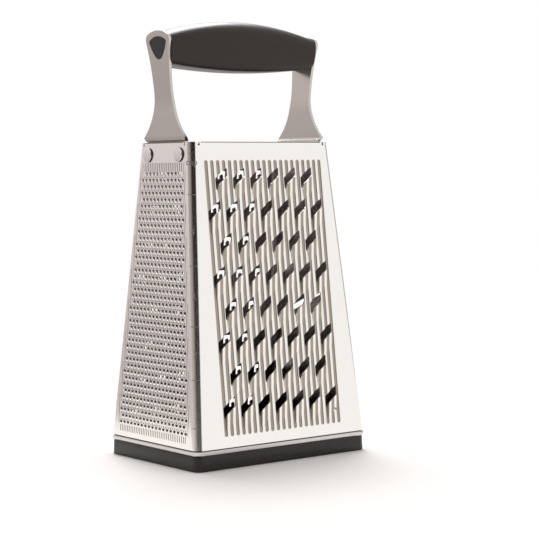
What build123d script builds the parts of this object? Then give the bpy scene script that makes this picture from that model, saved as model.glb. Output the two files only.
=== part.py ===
from build123d import *
import math
import os

os.makedirs("parts", exist_ok=True)

# A four-sided box grater with a strap handle over its open top and a pull-off base tray.
# Millimetres, +Z up, origin at the centre of the underside of the base tray.
# The wide coarse face looks to -Y, the narrow fine face to -X, the extra coarse face to +Y
# and the slicing face to +X.

# Body: a tapering box of sheet steel
sheet = 0.8
body_bottom_width = 118.3
body_bottom_depth = 86.7
body_top_width = 96.7
body_top_depth = 50.5
body_bottom_z = 11.6
body_top_z = 175.9
corner_bend = 5.3
wide_hem_depth = 5.0
narrow_hem_depth = 13.5
hem_notch_width = 1.2
hem_notch_depth = 2.0
overrun = 4.0
seam_gap = 0.02
ramp_root = 0.4
hood_end_ease = 0.8

# Coarse face: slanted openings, each with a raised cutting edge, among pressed flutes
flute_count = 21
flute_pitch = 3.93
flute_width = 2.2
flute_depth = 0.3
flute_end_ease = 0.7
flute_bottom_height = 5.9
flute_top_height = 155.2
blade_rows = 8
blades_in_long_row = 7
flutes_per_blade = 3
blade_row_pitch = 17.68
blade_first_height = 19.9
blade_width = 7.6
blade_opening_height = 4.4
blade_rise_angle = 36.0
blade_stand = 1.05
blade_ramp_length = 8.5
blade_cheek = 0.9
blade_corner_cut = 1.6

# Extra coarse face: round-topped openings, each with a raised round tongue
tongue_rows = 8
tongue_column_pitch = 13.9
tongue_row_pitch = 19.6
tongue_row_shift = 3.475
tongue_first_height = 6.8
tongue_first_across = 0.8
tongue_field_margin = 11.0
tongue_opening_radius = 4.2
tongue_opening_stem = 3.4
tongue_radius = 2.1
tongue_stand = 1.9
tongue_root = 1.0
tongue_round_steps = 4

# Slicing face: one long slanted slot with a raised blade
slicer_width = 46.0
slicer_opening_height = 2.6
slicer_rise_angle = -22.0
slicer_height = 72.8
slicer_stand = 1.7
slicer_ramp_length = 14.0
slicer_cheek = 1.0
slicer_corner_cut = 0.6

# Rim band: a steel frame inside the bottom of the walls that closes their lower edge
band_bottom_z = 8.7
band_top_z = 10.9
band_width = 3.0
band_stand_out = 0.4
band_edge_ease = 0.4
upstand_height = 8.0
upstand_thickness = 0.7
upstand_gap = 0.02

# Base tray and its feet
tray_inset_across = 0.15
tray_inset_deep = 0.4
tray_draft_angle = 2.4
tray_corner = 4.7
tray_floor = 1.8
tray_seat_gap = 0.05
lip_height = 3.2
lip_wall = 1.6
lip_clearance = 0.35
foot_length = 14.0
foot_width = 6.0
foot_corner_cut = 1.5
foot_thickness = 1.2
foot_proud = 0.3
foot_inset = 12.0

# Handle arms: two stamped plates
arm_plate = 1.6
arm_inset = 0.15
arm_foot_z = 176.35
arm_foot_shoulder_z = 178.6
arm_foot_corner_in = 1.0
joggle_low_z = 176.1
joggle_high_z = 177.8
joggle_round = 1.2
arm_bend_z = 197.0
arm_splay_angle = 6.0
arm_bend_radius = 60.0
arm_head_z = 236.7
arm_foot_inset = 0.05
arm_waist_half_width = 8.1
arm_waist_z = 204.0
arm_head_half_width = 11.9
arm_head_shoulder_z = 233.5
arm_head_round = 4.0
arm_foot_round = 1.2
tab_corner_round = 3.0
tab_bottom_z = 163.5
tab_inset = 1.5
tab_gap = 0.05

# Teardrop window near the head of each arm, filled by the end of the grip core
window_half_width = 8.3
window_top_z = 233.6
window_shoulder_z = 231.0
window_side_half_width = 6.2
window_side_z = 226.4
window_lower_half_width = 3.4
window_lower_z = 222.6
window_tip_z = 221.1
window_round = 1.0
boss_clearance = 0.1

# Rivets that hold the arms to the narrow walls
rivet_inset = 5.0
rivet_z = 169.05
rivet_head_diameter = 7.8
rivet_head_height = 1.0
rivet_head_ease = 0.6
rivet_head_sides = 16
rivet_shank_diameter = 4.0
rivet_shank_sides = 12
rivet_hole_clearance = 0.05

# Soft grip and its rigid core
grip_top_z = 243.5
grip_bottom_z = 215.2
grip_end_top_z = 236.3
grip_end_bottom_z = 218.4
grip_end_overhang = 1.3
grip_half_width = 12.8
grip_end_half_width = 11.7
grip_stations = 13
grip_section_shares = [
    (0, 1), (0.28, 0.988), (0.55, 0.952), (0.76, 0.9), (0.9, 0.83), (0.975, 0.74), (1, 0.62),
    (0.985, 0.42), (0.95, 0.24), (0.87, 0.1), (0.74, 0.02), (0.58, 0),
]

wall_height = body_top_z - body_bottom_z
lean_of_wide = math.atan2((body_bottom_depth - body_top_depth) / 2, wall_height)
lean_of_narrow = math.atan2((body_bottom_width - body_top_width) / 2, wall_height)
wide_slope_length = wall_height / math.cos(lean_of_wide)
narrow_slope_length = wall_height / math.cos(lean_of_narrow)

# Pieces that follow the body's size
tray_width = body_bottom_width - 2 * tray_inset_across
tray_depth = body_bottom_depth - 2 * tray_inset_deep
narrow_half_flat = body_top_depth / 2 - corner_bend
arm_outer_half_span = body_top_width / 2 - arm_inset
arm_foot_half_width = narrow_half_flat - arm_foot_inset
tab_half_width = arm_foot_half_width - tab_inset
rivet_spacing = 2 * (narrow_half_flat - rivet_inset)


def half_width_at(z):
    share = (z - body_bottom_z) / wall_height
    return (body_bottom_width + (body_top_width - body_bottom_width) * share) / 2


def half_depth_at(z):
    share = (z - body_bottom_z) / wall_height
    return (body_bottom_depth + (body_top_depth - body_bottom_depth) * share) / 2


def leaning(outward_x, outward_y, lean, offset):
    """A plane on the outer face of a wall: X to the right, Y up the slope, Z outward."""
    return Plane(
        origin=(outward_x * offset, outward_y * offset, body_bottom_z),
        x_dir=(-outward_y, outward_x, 0),
        z_dir=(outward_x * math.cos(lean), outward_y * math.cos(lean), math.sin(lean)),
    )


front_face = leaning(0, -1, lean_of_wide, body_bottom_depth / 2)
back_face = leaning(0, 1, lean_of_wide, body_bottom_depth / 2)
left_face = leaning(-1, 0, lean_of_narrow, body_bottom_width / 2)
right_face = leaning(1, 0, lean_of_narrow, body_bottom_width / 2)


def tapered_block(inset, low_z, high_z):
    """The body's outside shape, drawn in square to its walls, between two heights."""
    with BuildPart() as block:
        with Locations((0, 0, (low_z + high_z) / 2)):
            Box(2 * body_bottom_width, 2 * body_bottom_depth, high_z - low_z)
        for face in (front_face, back_face, left_face, right_face):
            split(bisect_by=face.offset(-inset), keep=Keep.BOTTOM)
        fillet(block.edges().filter_by(Plane.XY, reverse=True), corner_bend - inset)
    return block.part


def between_bends(inset):
    """A block over both narrow walls that leaves out the corner bends and the wide walls."""
    with BuildPart() as block:
        Box(2 * body_bottom_width, 2 * body_bottom_depth, 3 * body_top_z)
        for face in (front_face, back_face):
            split(bisect_by=face.offset(-corner_bend - inset), keep=Keep.BOTTOM)
    return block.part


def one_side(side_x, side_y):
    """A block over one side of the body, for keeping only that wall."""
    reach = body_bottom_width + body_bottom_depth
    with BuildPart() as side:
        with Locations((side_x * reach / 2, side_y * reach / 2, body_top_z / 2)):
            Box(reach, reach, 2 * body_top_z)
    return side.part


def hemmed_wall(side_x, side_y, face, slope_length, half_flat, hem_depth):
    """One wall of the body, with its top edge folded in between two corner notches."""
    with BuildPart() as wall:
        add(tapered_block(0, body_bottom_z, body_top_z))
        add(tapered_block(sheet, body_bottom_z, body_top_z), mode=Mode.SUBTRACT)
        add(one_side(side_x, side_y), mode=Mode.INTERSECT)
        if side_y:
            add(between_bends(0), mode=Mode.SUBTRACT)
        else:
            add(between_bends(seam_gap), mode=Mode.INTERSECT)
        with BuildSketch(face.offset(-2 * sheet)):
            with Locations((0, slope_length - hem_depth / 2)):
                Rectangle(2 * (half_flat - hem_notch_width), hem_depth)
        extrude(amount=sheet)
        with BuildSketch(face.offset(-3 * sheet)):
            with Locations((-half_flat, slope_length), (half_flat, slope_length)):
                Rectangle(hem_notch_width, 2 * hem_notch_depth)
        extrude(amount=3 * sheet + overrun, mode=Mode.SUBTRACT)
    return wall.part


def wide_wall(side_y, face):
    half_flat = body_top_width / 2 - corner_bend
    return hemmed_wall(0, side_y, face, wide_slope_length, half_flat, wide_hem_depth)


def narrow_wall(side_x, face):
    return hemmed_wall(side_x, 0, face, narrow_slope_length, narrow_half_flat, narrow_hem_depth)


def slanted_prism(profile, half_width, rise_angle):
    """A prism over an (up the wall, outward) profile, drawn across the wall at a slant."""
    angle = math.radians(rise_angle)
    start = Plane(
        origin=(-half_width, -half_width * math.tan(angle), 0),
        x_dir=(0, 1, 0),
        z_dir=(1, 0, 0),
    )
    with BuildPart() as prism:
        with BuildSketch(start):
            with BuildLine():
                Polyline(*profile, close=True)
            make_face()
        extrude(
            amount=2 * half_width / math.cos(angle),
            dir=(math.cos(angle), math.sin(angle), 0),
        )
    return prism.part


def cutting_hood(width, stand, ramp_length, rise_angle, cheek):
    """A ramp pressed out of the sheet, whose upper edge cuts, with a cheek at each end."""
    with BuildPart() as hood:
        add(slanted_prism(
            [(-ramp_length, -sheet), (-ramp_length, 0), (0, stand), (0, -sheet)],
            width / 2, rise_angle,
        ))
        with BuildSketch(Plane.XZ):
            Polygon(
                (width / 2, -sheet), (width / 2 - hood_end_ease, stand),
                (hood_end_ease - width / 2, stand), (-width / 2, -sheet),
                align=None,
            )
        extrude(amount=ramp_length + width, both=True, mode=Mode.INTERSECT)
        add(slanted_prism(
            [(-ramp_length, -sheet), (0, stand - sheet), (overrun, stand - sheet),
             (overrun, -sheet - overrun), (-ramp_length, -sheet - overrun)],
            width / 2 - cheek, rise_angle,
        ), mode=Mode.SUBTRACT)
    return hood.part


def hood_opening(width, height, ramp_length, rise_angle, cheek, corner_cut):
    """The hole over a cutting edge, together with the hollow behind its ramp."""
    slope = math.tan(math.radians(rise_angle))
    half = width / 2
    inner = half - cheek
    low = ramp_length - ramp_root
    with BuildSketch() as opening:
        with BuildLine():
            Polyline(
                (-inner, -inner * slope - low),
                (inner, inner * slope - low),
                (inner, inner * slope),
                (half, half * slope),
                (half, half * slope + height),
                (corner_cut - half, height + (corner_cut - half) * slope),
                (-half, height - half * slope - corner_cut),
                (-half, -half * slope),
                (-inner, -inner * slope),
                close=True,
            )
        make_face()
    return opening.sketch


def staggered_rows(rows, in_long_row, column_pitch, row_pitch, first_height):
    """Places in rows from the bottom up, with one place fewer in every other row."""
    places = []
    for row in range(rows):
        in_row = in_long_row - row % 2
        for column in range(in_row):
            across = (column - (in_row - 1) / 2) * column_pitch
            places.append((across, first_height + row * row_pitch))
    return places


def flute_sketch():
    """The pressed flutes of a wide face, with eased ends, drawn on the face's own plane."""
    half_length = (flute_top_height - flute_bottom_height) / 2
    half = flute_width / 2
    eased = half - flute_end_ease
    with BuildSketch() as flutes:
        with Locations((0, flute_bottom_height + half_length)):
            with GridLocations(flute_pitch, 0, flute_count, 1):
                Polygon(
                    (half, flute_end_ease - half_length), (half, half_length - flute_end_ease),
                    (eased, half_length), (-eased, half_length),
                    (-half, half_length - flute_end_ease), (-half, flute_end_ease - half_length),
                    (-eased, -half_length), (eased, -half_length),
                )
    return flutes.sketch


# Front: the coarse face. Its openings and raised cutting edges are the skilled work here
blade_places = staggered_rows(
    blade_rows, blades_in_long_row, flutes_per_blade * flute_pitch,
    blade_row_pitch, blade_first_height,
)
blade_opening = hood_opening(
    blade_width, blade_opening_height, blade_ramp_length, blade_rise_angle,
    blade_cheek, blade_corner_cut,
)
blade_hood = cutting_hood(
    blade_width, blade_stand, blade_ramp_length, blade_rise_angle, blade_cheek,
)

with BuildPart() as front_coarse_panel:
    add(wide_wall(-1, front_face))
    with BuildSketch(front_face.offset(-sheet - overrun)):
        with Locations(*blade_places):
            add(blade_opening)
    extrude(amount=sheet + 2 * overrun, mode=Mode.SUBTRACT, clean=False)
    with BuildSketch(front_face.offset(-flute_depth)):
        add(flute_sketch())
    extrude(amount=overrun, mode=Mode.SUBTRACT, clean=False)
    with Locations(front_face):
        with Locations(*blade_places):
            add(blade_hood, clean=False)
front_coarse_panel.part.label = "front_coarse_panel"
export_step(front_coarse_panel.part, "parts/front_coarse_panel.step")

def tongue_grid():
    """Places in rows from the bottom up, each row moved on by a quarter of the column pitch."""
    places = []
    for row in range(tongue_rows):
        height = tongue_first_height + row * tongue_row_pitch
        reach = half_width_at(body_bottom_z + height) - tongue_field_margin
        across = tongue_first_across - row * tongue_row_shift
        across -= tongue_column_pitch * math.floor((across + reach) / tongue_column_pitch)
        while across <= reach:
            places.append((across, height))
            across += tongue_column_pitch
    return places


def round_topped(half_width, low, stem):
    """The outline of a strip with a round top, drawn with a few straight steps."""
    outline = [(half_width, low)]
    for step in range(tongue_round_steps + 1):
        turn = math.pi * step / tongue_round_steps
        outline.append((half_width * math.cos(turn), stem + half_width * math.sin(turn)))
    outline.append((-half_width, low))
    with BuildSketch() as strip:
        with BuildLine():
            Polyline(*outline, close=True)
        make_face()
    return strip.sketch


# Back: the extra coarse face, with round-topped openings and round tongues bent outward
tongue_places = tongue_grid()
tongue_length = tongue_opening_stem + tongue_radius

with BuildPart() as tongue:
    with BuildSketch(Plane.YZ):
        with BuildLine():
            Polyline(
                (-tongue_root, -sheet), (0, -sheet),
                (tongue_length, tongue_stand - sheet), (tongue_length, tongue_stand),
                (0, 0), (-tongue_root, 0),
                close=True,
            )
        make_face()
    extrude(amount=tongue_radius, both=True)
    with BuildSketch(Plane.XY.offset(-sheet - overrun)):
        add(round_topped(tongue_radius, -tongue_root, tongue_opening_stem))
    extrude(amount=tongue_stand + sheet + 2 * overrun, mode=Mode.INTERSECT)

with BuildPart() as back_extra_coarse_panel:
    add(wide_wall(1, back_face))
    with BuildSketch(back_face.offset(-sheet - overrun)):
        with Locations(*tongue_places):
            add(round_topped(tongue_opening_radius, 0, tongue_opening_stem))
    extrude(amount=sheet + 2 * overrun, mode=Mode.SUBTRACT, clean=False)
    with Locations(back_face):
        with Locations(*tongue_places):
            add(tongue.part, clean=False)
back_extra_coarse_panel.part.label = "back_extra_coarse_panel"
export_step(back_extra_coarse_panel.part, "parts/back_extra_coarse_panel.step")

# Rivets through each narrow wall, its hem and the tab of its arm
rivet_up_slope = (rivet_z - body_bottom_z) / math.cos(lean_of_narrow)
rivet_places = [(side * rivet_spacing / 2, rivet_up_slope, 0) for side in (-1, 1)]
rivet_stack = 2 * sheet + tab_gap + arm_plate

with BuildPart() as rivet:
    with BuildSketch():
        RegularPolygon(rivet_head_diameter / 2, rivet_head_sides)
    extrude(amount=rivet_head_height)
    chamfer(rivet.edges().group_by(Axis.Z)[-1], rivet_head_ease)
    with BuildSketch():
        RegularPolygon(rivet_shank_diameter / 2, rivet_shank_sides)
    extrude(amount=-rivet_stack)

rivet_hole = Cylinder(
    rivet_shank_diameter / 2 + rivet_hole_clearance, 2 * (rivet_stack + overrun),
    mode=Mode.PRIVATE,
)

# Left: the fine face. Right: the slicing face
with BuildPart() as left_fine_panel:
    add(narrow_wall(-1, left_face))
    with Locations(left_face):
        with Locations(*rivet_places):
            add(rivet_hole, mode=Mode.SUBTRACT)
left_fine_panel.part.label = "left_fine_panel"
export_step(left_fine_panel.part, "parts/left_fine_panel.step")

with BuildPart() as right_slicer_panel:
    add(narrow_wall(1, right_face))
    with BuildSketch(right_face.offset(-sheet - overrun)):
        with Locations((0, slicer_height)):
            add(hood_opening(slicer_width, slicer_opening_height, slicer_ramp_length,
                             slicer_rise_angle, slicer_cheek, slicer_corner_cut))
    extrude(amount=sheet + 2 * overrun, mode=Mode.SUBTRACT)
    with Locations(right_face):
        with Locations((0, slicer_height, 0)):
            add(cutting_hood(slicer_width, slicer_stand, slicer_ramp_length,
                             slicer_rise_angle, slicer_cheek))
        with Locations(*rivet_places):
            add(rivet_hole, mode=Mode.SUBTRACT)
right_slicer_panel.part.label = "right_slicer_panel"
export_step(right_slicer_panel.part, "parts/right_slicer_panel.step")

for side_name, face in (("left", left_face), ("right", right_face)):
    with BuildPart() as arm_rivets:
        with Locations(face):
            with Locations(*rivet_places):
                add(rivet.part)
    arm_rivets.part.label = side_name + "_arm_rivets"
    export_step(arm_rivets.part, "parts/" + side_name + "_arm_rivets.step")

# Rim band: a flat ring under the walls with an upstand welded inside them
band_half_width = body_bottom_width / 2 + band_stand_out
band_half_depth = body_bottom_depth / 2 + band_stand_out
with BuildPart() as rim_band:
    with BuildSketch(Plane.XY.offset(band_bottom_z)):
        RectangleRounded(2 * band_half_width, 2 * band_half_depth, corner_bend + band_stand_out)
    extrude(amount=band_top_z - band_bottom_z)
    outer_edges = rim_band.edges().group_by(Axis.Z)[-1] + rim_band.edges().group_by(Axis.Z)[0]
    chamfer(outer_edges, band_edge_ease)
    add(tapered_block(sheet + upstand_gap, band_top_z - sheet, band_top_z + upstand_height))
    add(tapered_block(sheet + upstand_gap + upstand_thickness,
                      band_bottom_z - overrun, band_top_z + upstand_height + overrun),
        mode=Mode.SUBTRACT)
    with BuildSketch(Plane.XY.offset(band_bottom_z - overrun)):
        RectangleRounded(
            2 * (band_half_width - band_width), 2 * (band_half_depth - band_width),
            corner_bend + band_stand_out - band_width,
        )
    extrude(amount=band_top_z - band_bottom_z + overrun, mode=Mode.SUBTRACT)
rim_band.part.label = "rim_band"
export_step(rim_band.part, "parts/rim_band.step")

# Base tray: a shallow moulded tray whose lip stands inside the rim band
tray_top_z = band_bottom_z - tray_seat_gap
tray_bottom_z = foot_proud
lip_half_width = band_half_width - band_width - lip_clearance
lip_half_depth = band_half_depth - band_width - lip_clearance
lip_corner = corner_bend + band_stand_out - band_width - lip_clearance
foot_places = [
    (side_x * (tray_width / 2 - foot_inset), side_y * (tray_depth / 2 - foot_inset))
    for side_x in (-1, 1)
    for side_y in (-1, 1)
]

with BuildSketch() as feet_outline:
    with Locations(*foot_places):
        Rectangle(foot_length, foot_width)
    chamfer(feet_outline.vertices(), foot_corner_cut)

with BuildPart() as base_tray:
    with BuildSketch(Plane.XY.offset(tray_bottom_z)):
        RectangleRounded(tray_width, tray_depth, tray_corner)
    extrude(amount=tray_top_z - tray_bottom_z, taper=tray_draft_angle)
    with BuildSketch(Plane.XY.offset(tray_top_z)):
        RectangleRounded(2 * lip_half_width, 2 * lip_half_depth, lip_corner)
    extrude(amount=lip_height)
    with BuildSketch(Plane.XY.offset(tray_bottom_z + tray_floor)):
        RectangleRounded(
            2 * (lip_half_width - lip_wall), 2 * (lip_half_depth - lip_wall),
            lip_corner - lip_wall / 2,
        )
    extrude(amount=tray_top_z + lip_height - tray_bottom_z, mode=Mode.SUBTRACT)
    with BuildSketch(Plane.XY.offset(tray_bottom_z - overrun)):
        add(feet_outline.sketch)
    extrude(amount=overrun + foot_thickness - foot_proud, mode=Mode.SUBTRACT)
base_tray.part.label = "base_tray"
export_step(base_tray.part, "parts/base_tray.step")

with BuildPart() as tray_feet:
    with BuildSketch():
        add(feet_outline.sketch)
    extrude(amount=foot_thickness)
tray_feet.part.label = "tray_feet"
export_step(tray_feet.part, "parts/tray_feet.step")

# Handle arms: plates that stand flush over the narrow walls and step in to a tab behind the hem
splay = math.radians(arm_splay_angle)
arm_top_z = arm_head_z + overrun
arm_top_x = arm_outer_half_span + (arm_top_z - arm_bend_z) * math.tan(splay)
hem_inner = (2 * sheet + tab_gap) / math.cos(lean_of_narrow)
arm_outside = Plane(
    origin=(arm_outer_half_span, 0, arm_bend_z),
    x_dir=(0, 1, 0),
    z_dir=(math.cos(splay), 0, -math.sin(splay)),
)
left_arm_outside = Plane(
    origin=(-arm_outer_half_span, 0, arm_bend_z),
    x_dir=(0, -1, 0),
    z_dir=(-math.cos(splay), 0, -math.sin(splay)),
)

with BuildSketch() as window:
    with BuildLine():
        TangentArc((0, window_top_z), (window_half_width, window_shoulder_z), tangent=(1, 0))
        ThreePointArc(
            (window_half_width, window_shoulder_z),
            (window_side_half_width, window_side_z),
            (window_lower_half_width, window_lower_z),
        )
        TangentArc(
            (0, window_tip_z), (window_lower_half_width, window_lower_z), tangent=(1, 0)
        )
        mirror(about=Plane.YZ)
    make_face()
    fillet(window.vertices().group_by(Axis.Y)[-1], window_round)

with BuildPart() as right_handle_arm:
    with BuildSketch(Plane.XZ):
        with BuildLine():
            FilletPolyline(
                (half_width_at(tab_bottom_z) - hem_inner, tab_bottom_z),
                (half_width_at(joggle_low_z) - hem_inner, joggle_low_z),
                (arm_outer_half_span, joggle_high_z),
                (arm_outer_half_span, arm_bend_z),
                (arm_top_x, arm_top_z),
                radius=[joggle_round, joggle_round + arm_plate, arm_bend_radius],
            )
            offset(amount=arm_plate, side=Side.LEFT)
        make_face()
    extrude(amount=arm_foot_half_width + overrun, both=True)
    with BuildSketch(Plane.YZ) as arm_outline:
        with BuildLine():
            TangentArc(
                (0, arm_head_z), (arm_head_half_width, arm_head_shoulder_z), tangent=(1, 0)
            )
            TangentArc(
                (arm_waist_half_width, arm_waist_z),
                (arm_head_half_width, arm_head_shoulder_z), tangent=(0, 1),
            )
            TangentArc(
                (arm_waist_half_width, arm_waist_z),
                (arm_foot_half_width, arm_foot_shoulder_z), tangent=(0, -1),
            )
            Polyline(
                (arm_foot_half_width, arm_foot_shoulder_z),
                (arm_foot_half_width - arm_foot_corner_in, arm_foot_z),
                (0, arm_foot_z),
            )
            mirror(about=Plane.YZ)
        make_face()
        fillet(arm_outline.vertices().group_by(Axis.Y)[-1], arm_head_round)
        fillet(arm_outline.vertices().group_by(Axis.Y)[0], arm_foot_round)
        with Locations((0, (tab_bottom_z + arm_foot_shoulder_z) / 2)):
            RectangleRounded(
                2 * tab_half_width, arm_foot_shoulder_z - tab_bottom_z, tab_corner_round
            )
    extrude(amount=arm_top_x + overrun, mode=Mode.INTERSECT)
    with BuildSketch(Plane.YZ):
        add(window.sketch)
    extrude(amount=arm_top_x + overrun, mode=Mode.SUBTRACT)
    with Locations(right_face):
        with Locations(*rivet_places):
            add(rivet_hole, mode=Mode.SUBTRACT)
right_handle_arm.part.label = "right_handle_arm"
export_step(right_handle_arm.part, "parts/right_handle_arm.step")

with BuildPart() as left_handle_arm:
    mirror(right_handle_arm.part, about=Plane.YZ)
left_handle_arm.part.label = "left_handle_arm"
export_step(left_handle_arm.part, "parts/left_handle_arm.step")

# Grip core: a rigid bar of the window's shape, whose ends fill the windows flush
with BuildPart() as grip_core:
    with BuildSketch(Plane.YZ):
        add(window.sketch)
        offset(amount=-boss_clearance)
    extrude(amount=arm_top_x + overrun, both=True)
    split(bisect_by=arm_outside, keep=Keep.BOTTOM)
    split(bisect_by=left_arm_outside, keep=Keep.BOTTOM)
grip_core.part.label = "grip_core"
export_step(grip_core.part, "parts/grip_core.step")

# Soft grip: a hand grip, arched and crowned on top and fullest in the middle
grip_end_x = arm_outer_half_span + grip_end_overhang
grip_reach = arm_top_x + overrun


def along_arc(middle, end, outward, x):
    """How far an arc through the grip's middle and its ends has come at a place along the grip."""
    drop = abs(middle - end)
    radius = (grip_end_x ** 2 + drop ** 2) / (2 * drop)
    return middle - outward * (radius - math.sqrt(radius ** 2 - x ** 2))


def grip_section(x):
    """The grip's outline across, from the top middle round its right side and its left side."""
    top_z = along_arc(grip_top_z, grip_end_top_z, 1, x)
    bottom_z = along_arc(grip_bottom_z, grip_end_bottom_z, -1, x)
    half_width = along_arc(grip_half_width, grip_end_half_width, 1, x)
    right_side = [
        (across_share * half_width, bottom_z + up_share * (top_z - bottom_z))
        for across_share, up_share in grip_section_shares
    ]
    return right_side + [(-across, up) for across, up in reversed(right_side[1:])]


with BuildPart() as soft_grip:
    for station in range(grip_stations):
        x = grip_reach * (2 * station / (grip_stations - 1) - 1)
        with BuildSketch(Plane(origin=(x, 0, 0), x_dir=(0, 1, 0), z_dir=(1, 0, 0))):
            with BuildLine():
                Polyline(*grip_section(x), close=True)
            make_face()
    loft(ruled=True)
    for plane in (arm_outside, left_arm_outside):
        split(bisect_by=plane.offset(-arm_plate), keep=Keep.BOTTOM)
    add(grip_core.part, mode=Mode.SUBTRACT)
soft_grip.part.label = "soft_grip"
export_step(soft_grip.part, "parts/soft_grip.step")
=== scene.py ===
import math

import bmesh
import bpy
from mathutils import Matrix, Vector


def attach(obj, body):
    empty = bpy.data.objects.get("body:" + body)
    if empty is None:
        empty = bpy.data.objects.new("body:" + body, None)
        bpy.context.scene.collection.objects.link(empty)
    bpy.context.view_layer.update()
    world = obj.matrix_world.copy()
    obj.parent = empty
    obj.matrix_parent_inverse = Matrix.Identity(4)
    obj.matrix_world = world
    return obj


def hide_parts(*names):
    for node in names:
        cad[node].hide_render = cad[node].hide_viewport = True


# A steel box grater on its base tray, in a plain white studio. Metres, +Z up.
# The CAD pieces stay where they are. This file gives them their finishes and adds what is too fine
# for them: the holes, teeth and pressed lines of the fine wall, the slanted openings of the coarse
# wall, the pressed arches of the back wall, domed rivets, folded edges, the smooth soft grip, eased
# tray edges and the cup scale.

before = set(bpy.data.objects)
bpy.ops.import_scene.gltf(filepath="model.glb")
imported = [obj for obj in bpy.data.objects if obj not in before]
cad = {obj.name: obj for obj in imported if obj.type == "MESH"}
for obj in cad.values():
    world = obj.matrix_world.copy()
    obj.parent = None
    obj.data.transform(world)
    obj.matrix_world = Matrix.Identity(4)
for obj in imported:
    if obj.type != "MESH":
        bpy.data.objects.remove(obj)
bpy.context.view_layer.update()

MM = 0.001
body_bottom, body_top = 11.6 * MM, 175.9 * MM
wall_height = body_top - body_bottom
half_widths = (59.15 * MM, 48.35 * MM)
half_depths = (43.35 * MM, 25.25 * MM)
bend_radius = 5.3 * MM
narrow_slope = (half_widths[0] - half_widths[1]) / wall_height
wide_slope = (half_depths[0] - half_depths[1]) / wall_height
narrow_lean = math.atan(narrow_slope)
wide_lean = math.atan(wide_slope)


def at_height(ends, z):
    return ends[0] + (ends[1] - ends[0]) * (z - body_bottom) / wall_height


def wall_frame(way_out, lean, reach):
    """A wall's own frame: X to the right as seen from outside, Y up the slope, Z outward."""
    outward = Vector((way_out[0] * math.cos(lean), way_out[1] * math.cos(lean), math.sin(lean)))
    across = Vector((-way_out[1], way_out[0], 0))
    up = outward.cross(across)
    foot = Vector((way_out[0] * reach, way_out[1] * reach, body_bottom))
    return Matrix((
        (across.x, up.x, outward.x, foot.x),
        (across.y, up.y, outward.y, foot.y),
        (across.z, up.z, outward.z, foot.z),
        (0, 0, 0, 1),
    ))


front_wall = wall_frame((0, -1), wide_lean, half_depths[0])
back_wall = wall_frame((0, 1), wide_lean, half_depths[0])
left_wall = wall_frame((-1, 0), narrow_lean, half_widths[0])
right_wall = wall_frame((1, 0), narrow_lean, half_widths[0])


def on_wall(x, y, length=1.0):
    """A place on a wall in millimetres, for a piece that is drawn round its own middle."""
    return Matrix.Translation((x * MM, y * MM, 0)) @ Matrix.Diagonal((1, length, 1, 1))


# ---- Modelling steps ----


def edit(piece):
    """Opens one piece for editing, with nothing else selected."""
    bpy.ops.object.select_all(action="DESELECT")
    bpy.context.view_layer.objects.active = piece
    piece.select_set(True)
    bpy.ops.object.transform_apply(location=True, rotation=True, scale=True)
    bpy.ops.object.mode_set(mode="EDIT")
    bpy.ops.mesh.select_all(action="DESELECT")


def pick(piece, kind, test):
    """Selects the faces or edges whose middle and direction pass a test."""
    bpy.ops.mesh.select_mode(type=kind)
    bpy.ops.mesh.select_all(action="DESELECT")
    work = bmesh.from_edit_mesh(piece.data)
    if kind == "FACE":
        for face in work.faces:
            face.select_set(test(face.calc_center_median(), face.normal))
    else:
        for edge in work.edges:
            one, two = edge.verts[0].co, edge.verts[1].co
            edge.select_set(test((one + two) / 2, (two - one).normalized()))
    bmesh.update_edit_mesh(piece.data)


def close(piece, name, smooth_below=None):
    """Ends the editing, with the normals outward and the shading smooth below an angle."""
    bpy.ops.mesh.select_all(action="SELECT")
    bpy.ops.mesh.normals_make_consistent(inside=False)
    bpy.ops.object.mode_set(mode="OBJECT")
    if smooth_below:
        bpy.ops.object.shade_smooth_by_angle(angle=math.radians(smooth_below))
    piece.name = name
    piece.data.name = name


def apply_all(piece):
    """Applies a piece's modifiers, with nothing else selected."""
    bpy.ops.object.select_all(action="DESELECT")
    bpy.context.view_layer.objects.active = piece
    piece.select_set(True)
    for modifier in list(piece.modifiers):
        bpy.ops.object.modifier_apply(modifier=modifier.name)


def block(middle, size):
    """A block of a size at a place, both in millimetres, opened for editing."""
    bpy.ops.mesh.primitive_cube_add(
        size=1, location=[share * MM for share in middle], scale=[share * MM for share in size]
    )
    piece = bpy.context.object
    edit(piece)
    return piece


def cut_away(piece, cutter):
    """Takes a cutter's shape out of a piece and removes the cutter."""
    cut = piece.modifiers.new("cut", "BOOLEAN")
    cut.object = cutter
    cut.operation = "DIFFERENCE"
    cut.solver = "EXACT"
    apply_all(piece)
    bpy.data.objects.remove(cutter)


def repeated(one, places, name):
    """Copies a finished piece to each place, each with its own mesh, and joins the copies."""
    bpy.ops.object.select_all(action="DESELECT")
    for place in places:
        copy = bpy.data.objects.new(name, one.data.copy())
        copy.data.transform(place)
        bpy.context.scene.collection.objects.link(copy)
        copy.select_set(True)
        bpy.context.view_layer.objects.active = copy
    bpy.data.objects.remove(one)
    bpy.ops.object.join()
    joined = bpy.context.view_layer.objects.active
    joined.name = name
    joined.data.name = name
    return joined


def merged_copy(node, name):
    """A copy of a CAD node's mesh with its loose triangles merged."""
    piece = bpy.data.objects.new(name, cad[node].data.copy())
    bpy.context.scene.collection.objects.link(piece)
    edit(piece)
    bpy.ops.mesh.select_all(action="SELECT")
    bpy.ops.mesh.remove_doubles(threshold=0.0005 * MM)
    bpy.ops.object.mode_set(mode="OBJECT")
    return piece


# ---- Fine face: columns of small teeth in staggered rows; the field widens in steps downward ----

tooth_pitch, row_pitch = 3.55, 3.58
tooth_rows, rows_per_step, columns_at_foot = 40, 5, 19
first_row_up, field_top_up, field_foot_up = 8.0, 153.5, 2.9


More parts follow.
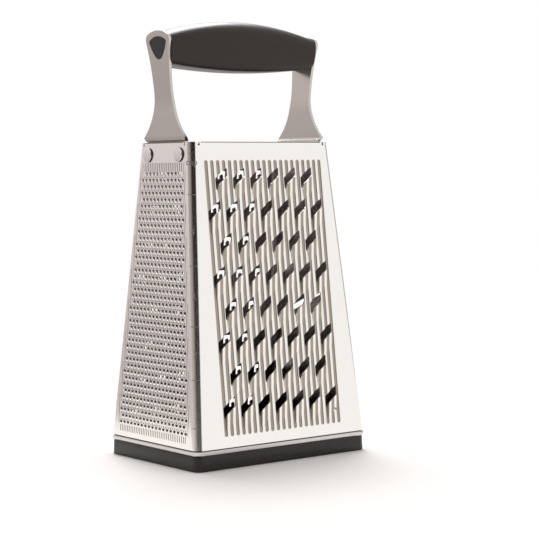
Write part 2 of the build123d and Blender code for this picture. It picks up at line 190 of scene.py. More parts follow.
def columns_in(row):
    return columns_at_foot - (row + 1) // rows_per_step


tooth_places = []
for row in range(tooth_rows):
    count = columns_in(row) - row % 2
    for column in range(count):
        across = (column - (count - 1) / 2) * tooth_pitch
        tooth_places.append(left_wall @ on_wall(across, first_row_up + row * row_pitch))

# The punch that opens each hole: a short wedge, wider at the top
punch = block((0.05, 0, -0.45), (1.7, 1.45, 1.9))
pick(punch, "FACE", lambda spot, way: way.y > 0.9)
bpy.ops.transform.resize(value=(1.45, 1, 1), center_override=(0.05 * MM, 0, 0))
close(punch, "fine_punch")
punches = repeated(punch, tooth_places, "fine_punches")
fine_wall = merged_copy("left_fine_panel", "fine_wall")
cut_away(fine_wall, punches)

# One tooth: a small block drawn in and leant over the lower edge of its hole
tooth = block((0.1, -1.1, 0.2), (1.6, 0.9, 0.5))
pick(tooth, "FACE", lambda spot, way: way.z > 0.9)
bpy.ops.transform.resize(value=(0.4, 0.3, 1), center_override=(0.1 * MM, -1.1 * MM, 0))
bpy.ops.transform.translate(value=(0.15 * MM, 0.55 * MM, 0))
close(tooth, "fine_tooth")
fine_teeth = repeated(tooth, tooth_places, "fine_teeth")

# One pressed line, a millimetre long; its copies are stretched and set between the rows, in a
# comb above and below the field, and along the field's stepped edges
line = block((0, 0, 0), (0.55, 1, 0.06))
pick(line, "EDGE", lambda spot, way: spot.z > 0.02 * MM and abs(way.y) > 0.9)
bpy.ops.mesh.bevel(offset=0.02 * MM, segments=1)
close(line, "pressed_line")
# Where the lines stop below and above a hole, and how the edge lines pass their rows
hole_foot, hole_head, last_foot, edge_gap, edge_rise = 1.6, 0.95, 1.0, 0.3, 1.5
edge_line = Matrix.Diagonal((0.6, 1, 1, 1))
line_places = []
for row in range(-1, tooth_rows):
    up = first_row_up + row * row_pitch
    low, high = up + hole_head, up + row_pitch - hole_foot
    if row == -1:
        low, high = field_foot_up, first_row_up - hole_foot
    if row == tooth_rows - 1:
        high = field_top_up
    columns = columns_in(max(row, 0))
    for half_column in range(2 * columns - 1):
        across = (half_column - columns + 1) * tooth_pitch / 2
        line_places.append(left_wall @ on_wall(across, (low + high) / 2, high - low))
step_rows = [0]
step_rows += [row for row in range(1, tooth_rows) if columns_in(row) != columns_in(row - 1)]
step_rows.append(tooth_rows)
for low_row, high_row in zip(step_rows, step_rows[1:]):
    edge = columns_in(low_row) * tooth_pitch / 2 + edge_gap
    low = first_row_up + low_row * row_pitch - last_foot
    high = first_row_up + high_row * row_pitch + edge_rise
    if high_row == tooth_rows:
        high = field_top_up
    for side in (-1, 1):
        place = on_wall(side * edge, (low + high) / 2, high - low)
        line_places.append(left_wall @ place @ edge_line)
fine_lines = repeated(line, line_places, "fine_pressed_lines")

# ---- Coarse face: the openings' upper left sides and the blades' left corners cut to shape ----

blade_rows, blades_in_long_row, blade_pitch = 8, 7, 11.79
first_blade_up, blade_row_pitch = 19.9, 17.68
blade_places = []
for row in range(blade_rows):
    count = blades_in_long_row - row % 2
    for column in range(count):
        across = (column - (count - 1) / 2) * blade_pitch
        blade_places.append(front_wall @ on_wall(across, first_blade_up + row * blade_row_pitch))

# The punch: its corners round the middle of a blade, from the upper right over the left to the
# blade's own edge, in millimetres
punch_outline = (
    (3.8, 7.25), (0.9, 5.75), (-4.4, 1.5), (-4.4, -3.4),
    (-3.7, -5.1), (-2.5, -1.3), (-1.5, 1.5), (3.4, 5.8),
)
punch_from, punch_deep = -1.5 * MM, 3.6 * MM
bpy.ops.mesh.primitive_circle_add(
    vertices=len(punch_outline), radius=4 * MM, fill_type="NGON", location=(0, 0, punch_from)
)
punch = bpy.context.object
edit(punch)
work = bmesh.from_edit_mesh(punch.data)
ring = sorted(work.verts, key=lambda vert: math.atan2(vert.co.y, vert.co.x) % (2 * math.pi))
for vert, (across, up) in zip(ring, punch_outline):
    vert.co.x, vert.co.y = across * MM, up * MM
bmesh.update_edit_mesh(punch.data)
bpy.ops.mesh.select_all(action="SELECT")
bpy.ops.mesh.extrude_region_move(TRANSFORM_OT_translate={"value": (0, 0, punch_deep)})
close(punch, "blade_punch")
punches = repeated(punch, blade_places, "blade_punches")
coarse_wall = merged_copy("front_coarse_panel", "coarse_wall")
cut_away(coarse_wall, punches)
# Slivers that the cut leaves are dissolved
edit(coarse_wall)
bpy.ops.mesh.select_all(action="SELECT")
bpy.ops.mesh.dissolve_degenerate(threshold=0.002 * MM)
bpy.ops.object.mode_set(mode="OBJECT")

# ---- Extra coarse face: each opening narrowed to its pressed arch round a small tongue ----

arch_rows, first_arch_up, arch_row_pitch = 8, 6.8, 19.6
arch_pitch, row_shift, first_arch_across, arch_margin = 13.9, 3.475, 0.8, 11.0
arch_places = []
for row in range(arch_rows):
    up = first_arch_up + arch_row_pitch * row
    reach = at_height(half_widths, body_bottom + up * MM) / MM - arch_margin
    across = first_arch_across - row * row_shift
    across -= arch_pitch * math.floor((across + reach) / arch_pitch)
    while across <= reach:
        arch_places.append(back_wall @ on_wall(across, up))
        across += arch_pitch

# The seat: all that stands at an opening of the CAD wall is cut out with soft corners
seat = block((0, 3.3, 0.7), (9.0, 9.2, 4.6))
pick(seat, "EDGE", lambda spot, way: abs(way.z) > 0.9)
bpy.ops.mesh.bevel(offset=0.5 * MM, segments=2)
close(seat, "arch_seat")
seats = repeated(seat, arch_places, "arch_seats")
extra_coarse_wall = merged_copy("back_extra_coarse_panel", "extra_coarse_wall")
cut_away(extra_coarse_wall, seats)

# The arch: a flat patch with a round-topped opening, and a narrow tongue that leans out of it
arch = block((0, 3.3, -0.4), (9.8, 10, 0.78))
pick(arch, "EDGE", lambda spot, way: abs(way.z) > 0.9)
bpy.ops.mesh.bevel(offset=0.5 * MM, segments=2)
close(arch, "arch")
arch_punch = block((0, 3.05, -0.4), (5.4, 4.8, 2))
pick(arch_punch, "EDGE", lambda spot, way: abs(way.z) > 0.9 and spot.y > 4 * MM)
bpy.ops.mesh.bevel(offset=1.0 * MM, segments=4)
close(arch_punch, "arch_punch")
cut_away(arch, arch_punch)
tongue = block((0, 1.9, -0.4), (2.3, 3.0, 0.7))
pick(tongue, "EDGE", lambda spot, way: abs(way.z) > 0.9 and spot.y > 2 * MM)
bpy.ops.mesh.bevel(offset=1.1 * MM, segments=6)
pick(tongue, "FACE", lambda spot, way: way.y > 0.2)
bpy.ops.transform.translate(value=(0, 0, 0.15 * MM))
close(tongue, "tongue", 40)
bpy.ops.object.select_all(action="DESELECT")
tongue.select_set(True)
arch.select_set(True)
bpy.context.view_layer.objects.active = arch
bpy.ops.object.join()
arches = repeated(arch, arch_places, "pressed_arches")

# ---- Rivets: domed heads on their shanks ----

rivet_up = (169.05 - body_bottom / MM) / math.cos(narrow_lean)
rivet_places = [on_wall(side * 14.95, rivet_up) for side in (-1, 1)]
head_radius, head_height, dome_radius = 3.9 * MM, 1.1 * MM, 0.3 * MM
shank_radius, shank_length = 2.0 * MM, 3.25 * MM
rim_radius, rim_depth = 3.95 * MM, 1.5 * MM


def domed_rivet():
    bpy.ops.mesh.primitive_cylinder_add(
        vertices=40, radius=head_radius, depth=head_height, location=(0, 0, head_height / 2)
    )
    rivet = bpy.context.object
    edit(rivet)
    pick(rivet, "EDGE", lambda spot, way: spot.z > 0.9 * head_height and abs(way.z) < 0.1)
    bpy.ops.mesh.bevel(offset=dome_radius, segments=3)
    pick(rivet, "FACE", lambda spot, way: way.z > 0.9999)
    bpy.ops.mesh.inset(thickness=1.1 * MM, depth=0.14 * MM)
    bpy.ops.mesh.inset(thickness=1.0 * MM, depth=0.06 * MM)
    pick(rivet, "FACE", lambda spot, way: way.z < -0.9)
    bpy.ops.mesh.inset(thickness=head_radius - shank_radius)
    bpy.ops.mesh.extrude_region_move(TRANSFORM_OT_translate={"value": (0, 0, -shank_length)})
    close(rivet, "domed_rivet", 50)
    return rivet


left_places = [left_wall @ place for place in rivet_places]
right_places = [right_wall @ place for place in rivet_places]
left_rivets = repeated(domed_rivet(), left_places, "left_domed_rivets")
right_rivets = repeated(domed_rivet(), right_places, "right_domed_rivets")

# The steep rim under each dome, painted dark as the shade of its gap with the wall
bpy.ops.mesh.primitive_cylinder_add(vertices=40, radius=rim_radius, depth=rim_depth)
rim = bpy.context.object
edit(rim)
close(rim, "rivet_rim", 50)
rivet_rims = repeated(rim, left_places + right_places, "rivet_rims")

# ---- Hem edges: the thin folded edge along the top of each wall ----


def hem_edge(wall, lean, length):
    width, thickness = 0.45, 0.12
    bead = block((0, wall_height / MM / math.cos(lean) - width / 2, 0), (length, width, thickness))
    pick(bead, "EDGE", lambda spot, way: spot.z > 0 and abs(way.x) > 0.9)
    bpy.ops.mesh.bevel(offset=0.05 * MM, segments=2)
    close(bead, "hem_edge", 40)
    bead.data.transform(wall)
    return bead


hem_edges = [hem_edge(wall, wide_lean, 83) for wall in (front_wall, back_wall)]
hem_edges += [hem_edge(wall, narrow_lean, 37) for wall in (left_wall, right_wall)]

# ---- Soft grip: the same arched form as the CAD grip, drawn out and smoothed ----

# Right half of the section from its top, as shares of the half width and of the height
grip_shares = [
    (0, 1), (0.28, 0.988), (0.55, 0.952), (0.76, 0.9), (0.9, 0.83), (0.975, 0.74), (1, 0.62),
    (0.985, 0.42), (0.95, 0.24), (0.87, 0.1), (0.74, 0.02), (0.58, 0),
]
grip_outline = grip_shares + [(-across, up) for across, up in reversed(grip_shares[1:])]
grip_reach, grip_end, stations = 56.8 * MM, 49.5 * MM, 16
station_pitch = 2 * grip_reach / stations
# The arms lean inward; their inner faces end the grip
splay, arm_reach, arm_up, arm_inner = math.radians(6), 48.2 * MM, 197 * MM, 1.6 * MM


def along_arc(middle, end, x):
    """An arc through the grip's middle and its ends."""
    drop = abs(middle - end)
    radius = (grip_end ** 2 + drop ** 2) / (2 * drop)
    fall = radius - math.sqrt(radius ** 2 - x ** 2)
    return middle - fall if middle > end else middle + fall


bpy.ops.mesh.primitive_circle_add(
    vertices=len(grip_outline), radius=1, fill_type="NGON", location=(-grip_reach, 0, 0),
    rotation=(0, math.pi / 2, 0),
)
grip = bpy.context.object
edit(grip)
bpy.ops.mesh.select_all(action="SELECT")
for _ in range(stations):
    bpy.ops.mesh.extrude_region_move(TRANSFORM_OT_translate={"value": (station_pitch, 0, 0)})
work = bmesh.from_edit_mesh(grip.data)
by_station = {}
for vert in work.verts:
    by_station.setdefault(round((vert.co.x + grip_reach) / station_pitch), []).append(vert)
for ring in by_station.values():
    ring.sort(key=lambda vert: math.atan2(vert.co.y, vert.co.z) % (2 * math.pi))
    x = ring[0].co.x
    top = along_arc(243.6 * MM, 236.5 * MM, x)
    bottom = along_arc(215.0 * MM, 218.2 * MM, x)
    half_width = along_arc(12.95 * MM, 11.85 * MM, x)
    for vert, (across, up) in zip(ring, grip_outline):
        vert.co.y = across * half_width
        vert.co.z = bottom + up * (top - bottom)
bmesh.update_edit_mesh(grip.data)
close(grip, "smooth_grip", 60)
rounding = grip.modifiers.new("rounding", "SUBSURF")
rounding.levels = 2
rounding.render_levels = 2
apply_all(grip)
end_x = arm_reach - arm_inner * math.cos(splay)
end_z = arm_up + arm_inner * math.sin(splay)
for side in (-1, 1):
    edit(grip)
    bpy.ops.mesh.select_all(action="SELECT")
    bpy.ops.mesh.bisect(
        plane_co=(side * end_x, 0, end_z), plane_no=(side * math.cos(splay), 0, -math.sin(splay)),
        use_fill=True, clear_outer=True,
    )
    close(grip, "smooth_grip", 60)
cut_away(grip, merged_copy("grip_core", "grip_core_cutter"))

# ---- Tray with eased edges, as it comes out of its mould ----


def eased(node, name, width):
    piece = merged_copy(node, name)
    easing = piece.modifiers.new("eased edges", "BEVEL")
    easing.width = width
    easing.segments = 3
    easing.limit_method = "ANGLE"
    easing.angle_limit = math.radians(40)
    apply_all(piece)
    bpy.ops.object.shade_smooth_by_angle(angle=math.radians(35))
    return piece


eased_tray = eased("base_tray", "eased_tray", 0.6 * MM)

# ---- Cup scale on the near corner: ticks, numerals and one word, laid round the bend ----


def laid_round_bend(piece, name, along, z):
    """Lays a flat piece in the XY plane over the near bend, after cutting it into narrow strips."""
    strip, out = 0.4 * MM, 0.06 * MM
    edit(piece)
    xs = [vert.co.x for vert in piece.data.vertices]
    place = min(xs) + strip
    while place < max(xs):
        bpy.ops.mesh.select_all(action="SELECT")
        bpy.ops.mesh.bisect(plane_co=(place, 0, 0), plane_no=(1, 0, 0))
        place += strip
    work = bmesh.from_edit_mesh(piece.data)
    half_arc = bend_radius * math.pi / 4
    for vert in work.verts:
        s, height = along + vert.co.x, z + vert.co.y
        turn = math.radians(225) + max(-half_arc, min(half_arc, s)) / bend_radius
        x = bend_radius - at_height(half_widths, height) + (bend_radius + out) * math.cos(turn)
        y = bend_radius - at_height(half_depths, height) + (bend_radius + out) * math.sin(turn)
        if s < -half_arc:
            y -= s + half_arc
        if s > half_arc:
            x += s - half_arc
        vert.co = (x, y, height)
    bmesh.update_edit_mesh(piece.data)
    bpy.ops.object.mode_set(mode="OBJECT")
    piece.name = name
    piece.data.name = name
    return piece


def tick_mark():
    bpy.ops.mesh.primitive_plane_add(size=1)
    tick = bpy.context.object
    tick.scale = (4.7 * MM, 0.42 * MM, 1)
    return tick


def lettering(words, height):
    """Words as a flat mesh, centred, with a given letter height."""
    bpy.ops.object.text_add(location=(0, 0, 0))
    label = bpy.context.object
    label.data.body = words
    label.data.resolution_u = 4
    bpy.ops.object.select_all(action="DESELECT")
    label.select_set(True)
    bpy.ops.object.convert(target="MESH")
    label = bpy.context.object
    xs = [vert.co.x for vert in label.data.vertices]
    ys = [vert.co.y for vert in label.data.vertices]
    size = height / (max(ys) - min(ys))
    middle = Matrix.Translation((-(max(xs) + min(xs)) / 2, -(max(ys) + min(ys)) / 2, 0))
    label.data.transform(Matrix.Scale(size, 4) @ middle)
    return label


scale_marks = []
for number, z in enumerate((23.4, 48.9, 77.1, 109.4, 147.5), 1):
    name = "scale_tick_%d" % number
    scale_marks.append(laid_round_bend(tick_mark(), name, -0.45 * MM, z * MM))
for number, z in enumerate((35.7, 62.6, 93.0, 127.6), 1):
    name, numeral = "scale_numeral_%d" % number, lettering(str(number), 3.4 * MM)
    scale_marks.append(laid_round_bend(numeral, name, -0.3 * MM, z * MM))
word = lettering("cup", 3.3 * MM)
scale_marks.append(laid_round_bend(word, "scale_word", -0.2 * MM, 163.9 * MM))

# ---- Finishes ----


def linear(code):
    """A hex colour as it looks on screen, turned into the shader's own scale."""
    parts = [int(code[i:i + 2], 16) / 255 for i in (0, 2, 4)]
    return [c / 12.92 if c <= 0.04045 else ((c + 0.055) / 1.055) ** 2.4 for c in parts] + [1]


def add(tree, kind, inputs=None, **settings):
    """Adds one node with its settings and links; an input is a value or another node's output."""
    made = tree.nodes.new(kind)
    for key, value in settings.items():
        setattr(made, key, value)
    for key, value in (inputs or {}).items():
        if isinstance(value, bpy.types.NodeSocket):
            tree.links.new(value, made.inputs[key])
        else:
            made.inputs[key].default_value = value
    return made


def finish(name, colour, metallic, roughness, specular=0.5):
    """A finish that is the same all over."""
    material = bpy.data.materials.new(name)
    material.use_nodes = True
    shader = material.node_tree.nodes["Principled BSDF"]
    shader.inputs["Base Color"].default_value = linear(colour)
    shader.inputs["Metallic"].default_value = metallic
    shader.inputs["Roughness"].default_value = roughness
    shader.inputs["Specular IOR Level"].default_value = specular
    return material


def grained(material, grain, shallow, deep, height=0.0):
    """Gives a finish a grain of a size in millimetres: uneven roughness and a slight relief."""
    tree = material.node_tree
    shader = tree.nodes["Principled BSDF"]
    place = add(tree, "ShaderNodeTexCoord")
    scaled = add(tree, "ShaderNodeMapping", {
        "Vector": place.outputs["Object"], "Scale": [1 / (size * MM) for size in grain],
    })
    noise = add(tree, "ShaderNodeTexNoise", {"Vector": scaled.outputs["Vector"], "Scale": 1.0})
    rough = add(tree, "ShaderNodeMapRange", {
        "Value": noise.outputs["Fac"], "From Min": 0.3, "From Max": 0.7,
        "To Min": shallow, "To Max": deep,
    })
    tree.links.new(rough.outputs["Result"], shader.inputs["Roughness"])
    if height:
        relief = add(tree, "ShaderNodeBump", {
            "Height": noise.outputs["Fac"], "Strength": 0.5, "Distance": height * MM,
        })
        tree.links.new(relief.outputs["Normal"], shader.inputs["Normal"])
    return material


# The flutes' warm grey is painted shade for their hollow curves. The inner grey is the inner side's
# duller polish, with painted shade for the inside of the box.
bright_steel, flute_painted_shade, inner_polish_and_shade = linear("F3F0EC"), linear("A89F92"), linear("AFA8A6")
flute_pitch, flute_middle, flute_reach, flute_field = 3.93 * MM, 91.7 * MM, 73.1 * MM, 41.2 * MM
flute_outer, flute_inner = 1.25 * MM, 0.95 * MM


def flute_mask(tree, axes):
    """One on the flutes: round-ended stripes a pitch apart, on the wall and over its ramps."""
    beside = add(
        tree, "ShaderNodeMath",
        {0: axes.outputs["X"], 1: flute_pitch / 2, 2: -flute_pitch / 2}, operation="WRAP",
    )
    from_middle = add(
        tree, "ShaderNodeMath", {0: axes.outputs["Z"], 1: flute_middle}, operation="SUBTRACT"
    )
    distance = add(tree, "ShaderNodeMath", {0: from_middle.outputs[0]}, operation="ABSOLUTE")
    past_end = add(
        tree, "ShaderNodeMath", {0: distance.outputs[0], 1: flute_reach}, operation="SUBTRACT"
    )
    end = add(tree, "ShaderNodeMath", {0: past_end.outputs[0], 1: 0.0}, operation="MAXIMUM")
    away = add(tree, "ShaderNodeCombineXYZ", {0: beside.outputs[0], 1: end.outputs[0]})
    spread = add(tree, "ShaderNodeVectorMath", {0: away.outputs[0]}, operation="LENGTH")
    stripe = add(tree, "ShaderNodeMapRange", {
        "Value": spread.outputs["Value"], "From Min": flute_outer, "From Max": flute_inner,
    })
    aside = add(tree, "ShaderNodeMath", {0: axes.outputs["X"]}, operation="ABSOLUTE")
    in_field = add(
        tree, "ShaderNodeMath", {0: aside.outputs[0], 1: flute_field}, operation="LESS_THAN"
    )
    return add(
        tree, "ShaderNodeMath", {0: stripe.outputs["Result"], 1: in_field.outputs[0]},
        operation="MULTIPLY",
    ).outputs[0]


def inside_mask(tree, place, axes, skin):
    """One below the skin of the body, a tapering box with round corners."""
    folded = add(tree, "ShaderNodeVectorMath", {0: place}, operation="ABSOLUTE")
    taper = add(
        tree, "ShaderNodeVectorMath",
        {0: (narrow_slope, wide_slope, 0), "Scale": axes.outputs["Z"]}, operation="SCALE",
    )
    grown = add(
        tree, "ShaderNodeVectorMath", {0: folded.outputs[0], 1: taper.outputs[0]}, operation="ADD"
    )
    corner = (
        half_widths[0] + body_bottom * narrow_slope - bend_radius,
        half_depths[0] + body_bottom * wide_slope - bend_radius, 0,
    )
    past = add(
        tree, "ShaderNodeVectorMath", {0: grown.outputs[0], 1: corner}, operation="SUBTRACT"
    )
    level = add(
        tree, "ShaderNodeVectorMath", {0: past.outputs[0], 1: (1, 1, 0)}, operation="MULTIPLY"
    )
    outer = add(
        tree, "ShaderNodeVectorMath", {0: level.outputs[0], 1: (0, 0, 0)}, operation="MAXIMUM"
    )
    reach = add(tree, "ShaderNodeVectorMath", {0: outer.outputs[0]}, operation="LENGTH")
    parts = add(tree, "ShaderNodeSeparateXYZ", {0: level.outputs[0]})
    nearer = add(
        tree, "ShaderNodeMath", {0: parts.outputs[0], 1: parts.outputs[1]}, operation="MAXIMUM"
    )
    inner = add(tree, "ShaderNodeMath", {0: nearer.outputs[0], 1: 0.0}, operation="MINIMUM")
    total = add(
        tree, "ShaderNodeMath", {0: reach.outputs["Value"], 1: inner.outputs[0]}, operation="ADD"
    )
    return add(
        tree, "ShaderNodeMath", {0: total.outputs[0], 1: bend_radius - skin}, operation="LESS_THAN"
    ).outputs[0]


def pressed_sheet(name, skin, fluted):
    """Satin stainless sheet: bright outside; duller inside and darker there by painted shade; matt
    in its flutes, with painted shade.
    """
    material = grained(finish(name, "F3F0EC", 1.0, 0.16), (1.1, 1.1, 16), 0.14, 0.18)
    tree = material.node_tree
    shader = tree.nodes["Principled BSDF"]
    place = add(tree, "ShaderNodeTexCoord").outputs["Object"]
    axes = add(tree, "ShaderNodeSeparateXYZ", {0: place})
    colour, roughness = bright_steel, shader.inputs["Roughness"].links[0].from_socket
    # In the flutes the colour turns warm grey: painted shade for their hollows, also laid over the
    # ramps
    if fluted:
        flute = flute_mask(tree, axes)
        colour = add(
            tree, "ShaderNodeMix", {"Factor": flute, "A": colour, "B": flute_painted_shade},
            data_type="RGBA",
        ).outputs[2]
        roughness = add(
            tree, "ShaderNodeMix", {"Factor": flute, "A": roughness, "B": 0.5}, data_type="FLOAT"
        ).outputs[0]
    # Below the skin the colour turns darker: the inner side's duller polish, with painted shade for
    # the inside of the box
    inside = inside_mask(tree, place, axes, skin)
    colour = add(
        tree, "ShaderNodeMix", {"Factor": inside, "A": colour, "B": inner_polish_and_shade}, data_type="RGBA"
    )
    tree.links.new(colour.outputs[2], shader.inputs["Base Color"])
    roughness = add(
        tree, "ShaderNodeMix", {"Factor": inside, "A": roughness, "B": 0.25}, data_type="FLOAT"
    )
    tree.links.new(roughness.outputs[0], shader.inputs["Roughness"])
    return material


# Walls: satin stainless sheet, rolled; outside it is bright and blurs what it mirrors a little
wall_steel = pressed_sheet("satin stainless sheet", 0.15 * MM, False)
# The coarse wall has flutes pressed into it: matt, and painted warm grey as painted shade for their
# hollow curves
fluted_steel = pressed_sheet("satin stainless sheet with matt flutes in painted shade", 0.45 * MM, True)
# Handle arms: stamped stainless plate, brushed lengthways, so duller than the walls
arm_steel = grained(
    finish("brushed stainless plate", "C6C1BB", 1.0, 0.22), (0.7, 0.7, 20), 0.18, 0.26, 0.006
)
# Rivet heads: stainless, tumbled smooth
rivet_steel = finish("tumbled rivet steel", "E8E3E0", 1.0, 0.16)
# Rivet rims: painted shade, a dark ring standing for the shadow in the narrow gap under the dome
rivet_gap_painted_shade = finish("painted shade of the gap under a rivet", "3A3330", 0.0, 0.6, 0.2)
# Rim band: stainless strip, polished; its inner upstand, where it shows in the gap, carries painted
# shade
band_steel = finish("polished stainless strip", "CFCAC7", 1.0, 0.12)
# Scale marks: stainless etched rough, so grey from every side
etched_steel = finish("etched stainless mark", "6E6664", 0.0, 0.7)
# Pressed lines and folded edges: stainless, painted dark as painted shade for the grooves and for
# the fold
pressed_line_painted_shade = finish("pressed line in painted shade", "7A7270", 1.0, 0.4)
folded_edge_painted_shade = finish("folded edge in painted shade", "6F6967", 1.0, 0.45)
# Base tray: moulded polypropylene, near black, with a low sheen
tray_plastic = grained(
    finish("moulded black polypropylene", "1A1314", 0.0, 0.27, 0.42),
    (0.6, 0.6, 0.6), 0.26, 0.29, 0.001,
)
# Feet: matt rubber
foot_rubber = finish("matt black rubber", "1C1B1B", 0.0, 0.7)
# Grip core: moulded nylon, dark grey, seen in the arms' windows
core_plastic = finish("moulded dark nylon", "262526", 0.0, 0.45, 0.35)
# Grip: thermoplastic elastomer over the core, soft and nearly matt
grip_rubber = grained(
    finish("soft thermoplastic elastomer", "2E2825", 0.0, 0.4, 0.26),
    (0.7, 0.7, 0.7), 0.34, 0.42, 0.006,
)

# The band's upstand, above its ledge, is painted dark: painted shade for the gap under the walls
ledge_top = 10.93 * MM
tree = band_steel.node_tree
shader = tree.nodes["Principled BSDF"]
axes = add(tree, "ShaderNodeSeparateXYZ", {0: add(tree, "ShaderNodeTexCoord").outputs["Object"]})
above = add(
    tree, "ShaderNodeMath", {0: axes.outputs["Z"], 1: ledge_top}, operation="GREATER_THAN"
)
colour = add(tree, "ShaderNodeMix", {
    "Factor": above.outputs[0], "A": linear("CFCAC7"), "B": linear("221D1A"),
}, data_type="RGBA")
tree.links.new(colour.outputs[2], shader.inputs["Base Color"])

finishes = {
    "front_coarse_panel": fluted_steel,
    "back_extra_coarse_panel": wall_steel,
    "left_fine_panel": wall_steel,
    "right_slicer_panel": wall_steel,
    "left_arm_rivets": rivet_steel,
    "right_arm_rivets": rivet_steel,
    "rim_band": band_steel,
    "base_tray": tray_plastic,
    "tray_feet": foot_rubber,
    "right_handle_arm": arm_steel,
    "left_handle_arm": arm_steel,
    "grip_core": core_plastic,
    "soft_grip": grip_rubber,
}


def give(piece, material):
    if not piece.data.materials:
        piece.data.materials.append(material)
    for place in piece.material_slots:
        place.material = material


for name, material in finishes.items():
    give(cad[name], material)

plain_walls = (fine_wall, fine_teeth, extra_coarse_wall, arches)
added = [(piece, wall_steel, "grater", "wall_steel") for piece in plain_walls]
added += [(coarse_wall, fluted_steel, "grater", "wall_steel")]
added += [(fine_lines, pressed_line_painted_shade, "grater", "wall_steel")]
added += [(bead, folded_edge_painted_shade, "grater", "wall_steel") for bead in hem_edges]
added += [(mark, etched_steel, "grater", "wall_steel") for mark in scale_marks]
added += [(head, rivet_steel, "grater", "rivet_steel") for head in (left_rivets, right_rivets)]
added += [(rivet_rims, rivet_gap_painted_shade, "grater", "rivet_steel")]
added += [(grip, grip_rubber, "grater", "grip_rubber")]
added += [(eased_tray, tray_plastic, "base", "tray_plastic")]
for piece, material, body, slot in added:
    give(piece, material)
    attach(piece, body)
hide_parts("left_fine_panel")
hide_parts("front_coarse_panel")
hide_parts("back_extra_coarse_panel")
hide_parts("left_arm_rivets")
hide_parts("right_arm_rivets")
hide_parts("soft_grip")
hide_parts("base_tray")

# ---- Studio ----

bpy.ops.mesh.primitive_plane_add(size=8, location=(0, 0, 0))
floor = bpy.context.object
floor.name = "studio_floor"
give(floor, finish("white paper floor", "FBF9F8", 0.0, 0.9))


card_reach, card_head, card_foot, card_steps = 1.5, 1.5, 0.002, 24


def curved_card(name, from_azimuth, to_azimuth, foot_reach, levels, lift, tint):
    """A tall curved card that only metal and gloss can see, with a skirt on the floor before it.
    Its glow runs between levels along the curve and rises or falls by a lift over its foot."""
    start, turn = math.radians(from_azimuth), math.radians(to_azimuth - from_azimuth)
    # One upright edge before the object, drawn inward along the floor and spun round
    middle = (card_head + card_foot) / 2
    bpy.ops.mesh.primitive_plane_add(
        size=1, location=(0.5, -card_reach, middle), rotation=(math.pi / 2, 0, 0)
    )
    card = bpy.context.object
    card.scale.y = card_head - card_foot
    edit(card)
    pick(card, "EDGE", lambda spot, way: spot.x > 0.9)
    bpy.ops.mesh.delete(type="VERT")
    if foot_reach:
        bpy.ops.mesh.select_mode(type="VERT")
        work = bmesh.from_edit_mesh(card.data)
        for vert in work.verts:
            vert.select_set(vert.co.z < card_head / 2)
        bmesh.update_edit_mesh(card.data)
        bpy.ops.mesh.extrude_vertices_move(
            TRANSFORM_OT_translate={"value": (0, card_reach - foot_reach, 0)}
        )
    bpy.ops.mesh.select_all(action="SELECT")
    bpy.ops.mesh.spin(steps=card_steps, angle=-turn, center=(0, 0, 0), axis=(0, 0, 1))
    bpy.ops.object.mode_set(mode="OBJECT")
    card.rotation_euler.z = start
    bpy.ops.object.transform_apply(location=True, rotation=True, scale=True)
    card.name = name
    material = bpy.data.materials.new(name)
    material.use_nodes = True
    tree = material.node_tree
    tree.nodes.clear()
    spot = add(tree, "ShaderNodeTexCoord")
    axes = add(tree, "ShaderNodeSeparateXYZ", {0: spot.outputs["Object"]})
    back_y = add(tree, "ShaderNodeMath", {0: axes.outputs["Y"], 1: -1.0}, operation="MULTIPLY")
    place = add(
        tree, "ShaderNodeMath", {0: axes.outputs["X"], 1: back_y.outputs[0]}, operation="ARCTAN2"
    )
    share = add(tree, "ShaderNodeMapRange", {
        "Value": place.outputs[0], "From Min": start, "From Max": start + turn,
    })
    ramp = add(tree, "ShaderNodeValToRGB", {"Fac": share.outputs["Result"]})
    stops = ramp.color_ramp.elements
    while len(stops) < len(levels):
        stops.new(0.5)
    for stop, (position, shade) in zip(stops, levels):
        stop.position = position
        stop.color = (shade, shade, shade, 1)
    height, at_foot, at_head = lift
    rise = add(tree, "ShaderNodeMapRange", {
        "Value": axes.outputs["Z"], "From Min": 0.0, "From Max": height,
        "To Min": at_foot, "To Max": at_head,
    })
    lifted = add(tree, "ShaderNodeMix", {
        "Factor": 1.0, "A": ramp.outputs["Color"], "B": rise.outputs["Result"],
    }, data_type="RGBA", blend_type="ADD")
    tinted = add(tree, "ShaderNodeMix", {
        "Factor": 1.0, "A": lifted.outputs[2], "B": linear(tint),
    }, data_type="RGBA", blend_type="MULTIPLY")
    glow = add(tree, "ShaderNodeEmission", {"Color": tinted.outputs[2], "Strength": 1.0})
    add(tree, "ShaderNodeOutputMaterial", {"Surface": glow.outputs[0]})
    give(card, material)
    card.visible_camera = False
    card.visible_diffuse = False
    card.visible_shadow = False


# Dark side of the studio round the camera, a grey side to the left and behind, and a narrow grey
# flag to the right
dark_levels = ((0.0, 0.045), (0.49, 0.045), (0.58, 0.21), (0.72, 0.36), (1.0, 0.5))
grey_levels = ((0.0, 0.65), (1.0, 0.68))
flag_levels = ((0.0, 0.42), (1.0, 0.42))
curved_card("dark_side", -9, -108, 0, dark_levels, (0.4, 0.075, -0.02), "FFF0EC")
curved_card("grey_side", -108, -178, 0.3, grey_levels, (0.5, -0.08, 0.18), "FFF6F6")
curved_card("right_flag", 85, 122, 0, flag_levels, (0.5, 0.0, 0.0), "FFFAF8")

# A soft box high behind, for the sheen along the grip
data = bpy.data.lights.new("grip_sheen_box", "AREA")
data.shape = "SQUARE"
data.size = 0.6
data.energy = 14.5
data.color = (0.92, 0.93, 1.0)
sheen_box = bpy.data.objects.new("grip_sheen_box", data)
bpy.context.scene.collection.objects.link(sheen_box)
sheen_box.location = (0.27, 0.59, 0.98)
to_grip = Vector((0, 0, 0.24)) - sheen_box.location
sheen_box.rotation_euler = to_grip.to_track_quat("-Z", "Y").to_euler()
sheen_box.visible_diffuse = False
sheen_box.visible_camera = False

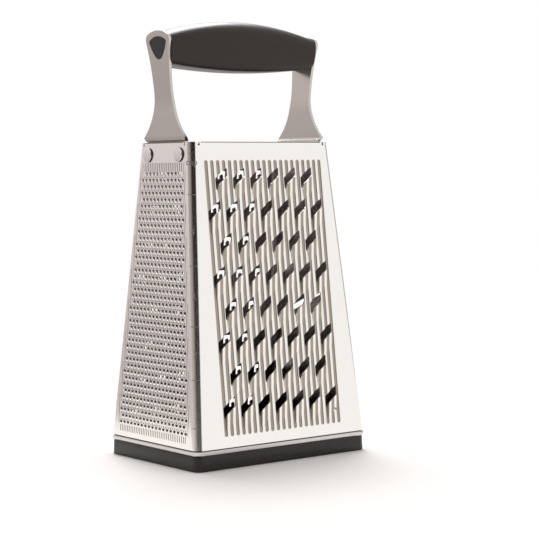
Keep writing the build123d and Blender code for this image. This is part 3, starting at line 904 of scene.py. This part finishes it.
# A broad soft light from above and behind, which lays the shadow towards the camera
data = bpy.data.lights.new("soft_overhead", "SUN")
data.energy = 1.45
data.angle = math.radians(22)
overhead = bpy.data.objects.new("soft_overhead", data)
bpy.context.scene.collection.objects.link(overhead)
light_way = Vector((-0.15, -0.36, -0.92))
overhead.rotation_euler = light_way.to_track_quat("-Z", "Y").to_euler()
overhead.visible_glossy = False

# White all round: full white for the camera and in mirrors, a little less as light
world = bpy.data.worlds.new("white_studio")
bpy.context.scene.world = world
world.use_nodes = True
tree = world.node_tree
tree.nodes.clear()
path = add(tree, "ShaderNodeLightPath")
white = add(tree, "ShaderNodeBackground", {"Color": (1, 1, 1, 1), "Strength": 1.0})
around = add(tree, "ShaderNodeBackground", {"Color": (0.68, 0.66, 0.65, 1), "Strength": 1.0})
seen = path.outputs["Is Camera Ray"]
for kind in ("Is Glossy Ray", "Is Transmission Ray"):
    seen = add(
        tree, "ShaderNodeMath", {0: seen, 1: path.outputs[kind]}, operation="MAXIMUM"
    ).outputs[0]
both = add(tree, "ShaderNodeMixShader", {0: seen, 1: around.outputs[0], 2: white.outputs[0]})
add(tree, "ShaderNodeOutputWorld", {"Surface": both.outputs[0]})

# ---- Camera, as fitted to the photo's straight edges ----

azimuth, elevation, roll = (math.radians(angle) for angle in (-37.574, 3.418, -0.572))
back = Vector((
    math.sin(azimuth) * math.cos(elevation), -math.cos(azimuth) * math.cos(elevation),
    math.sin(elevation),
))
right = Vector((math.cos(azimuth), math.sin(azimuth), 0))
upward = back.cross(right)
turned_right = right * math.cos(roll) + upward * math.sin(roll)
turned_up = upward * math.cos(roll) - right * math.sin(roll)
camera_data = bpy.data.cameras.new("camera")
camera_data.lens = 112.27
camera_data.sensor_width = 36
camera_data.clip_start = 0.05
camera_data.clip_end = 20
camera = bpy.data.objects.new("camera", camera_data)
bpy.context.scene.collection.objects.link(camera)
camera.matrix_world = Matrix((
    (turned_right.x, turned_up.x, back.x, -0.5670),
    (turned_right.y, turned_up.y, back.y, -0.7682),
    (turned_right.z, turned_up.z, back.z, 0.1606),
    (0, 0, 0, 1),
))
bpy.context.scene.camera = camera
bpy.context.scene.view_settings.view_transform = "Standard"
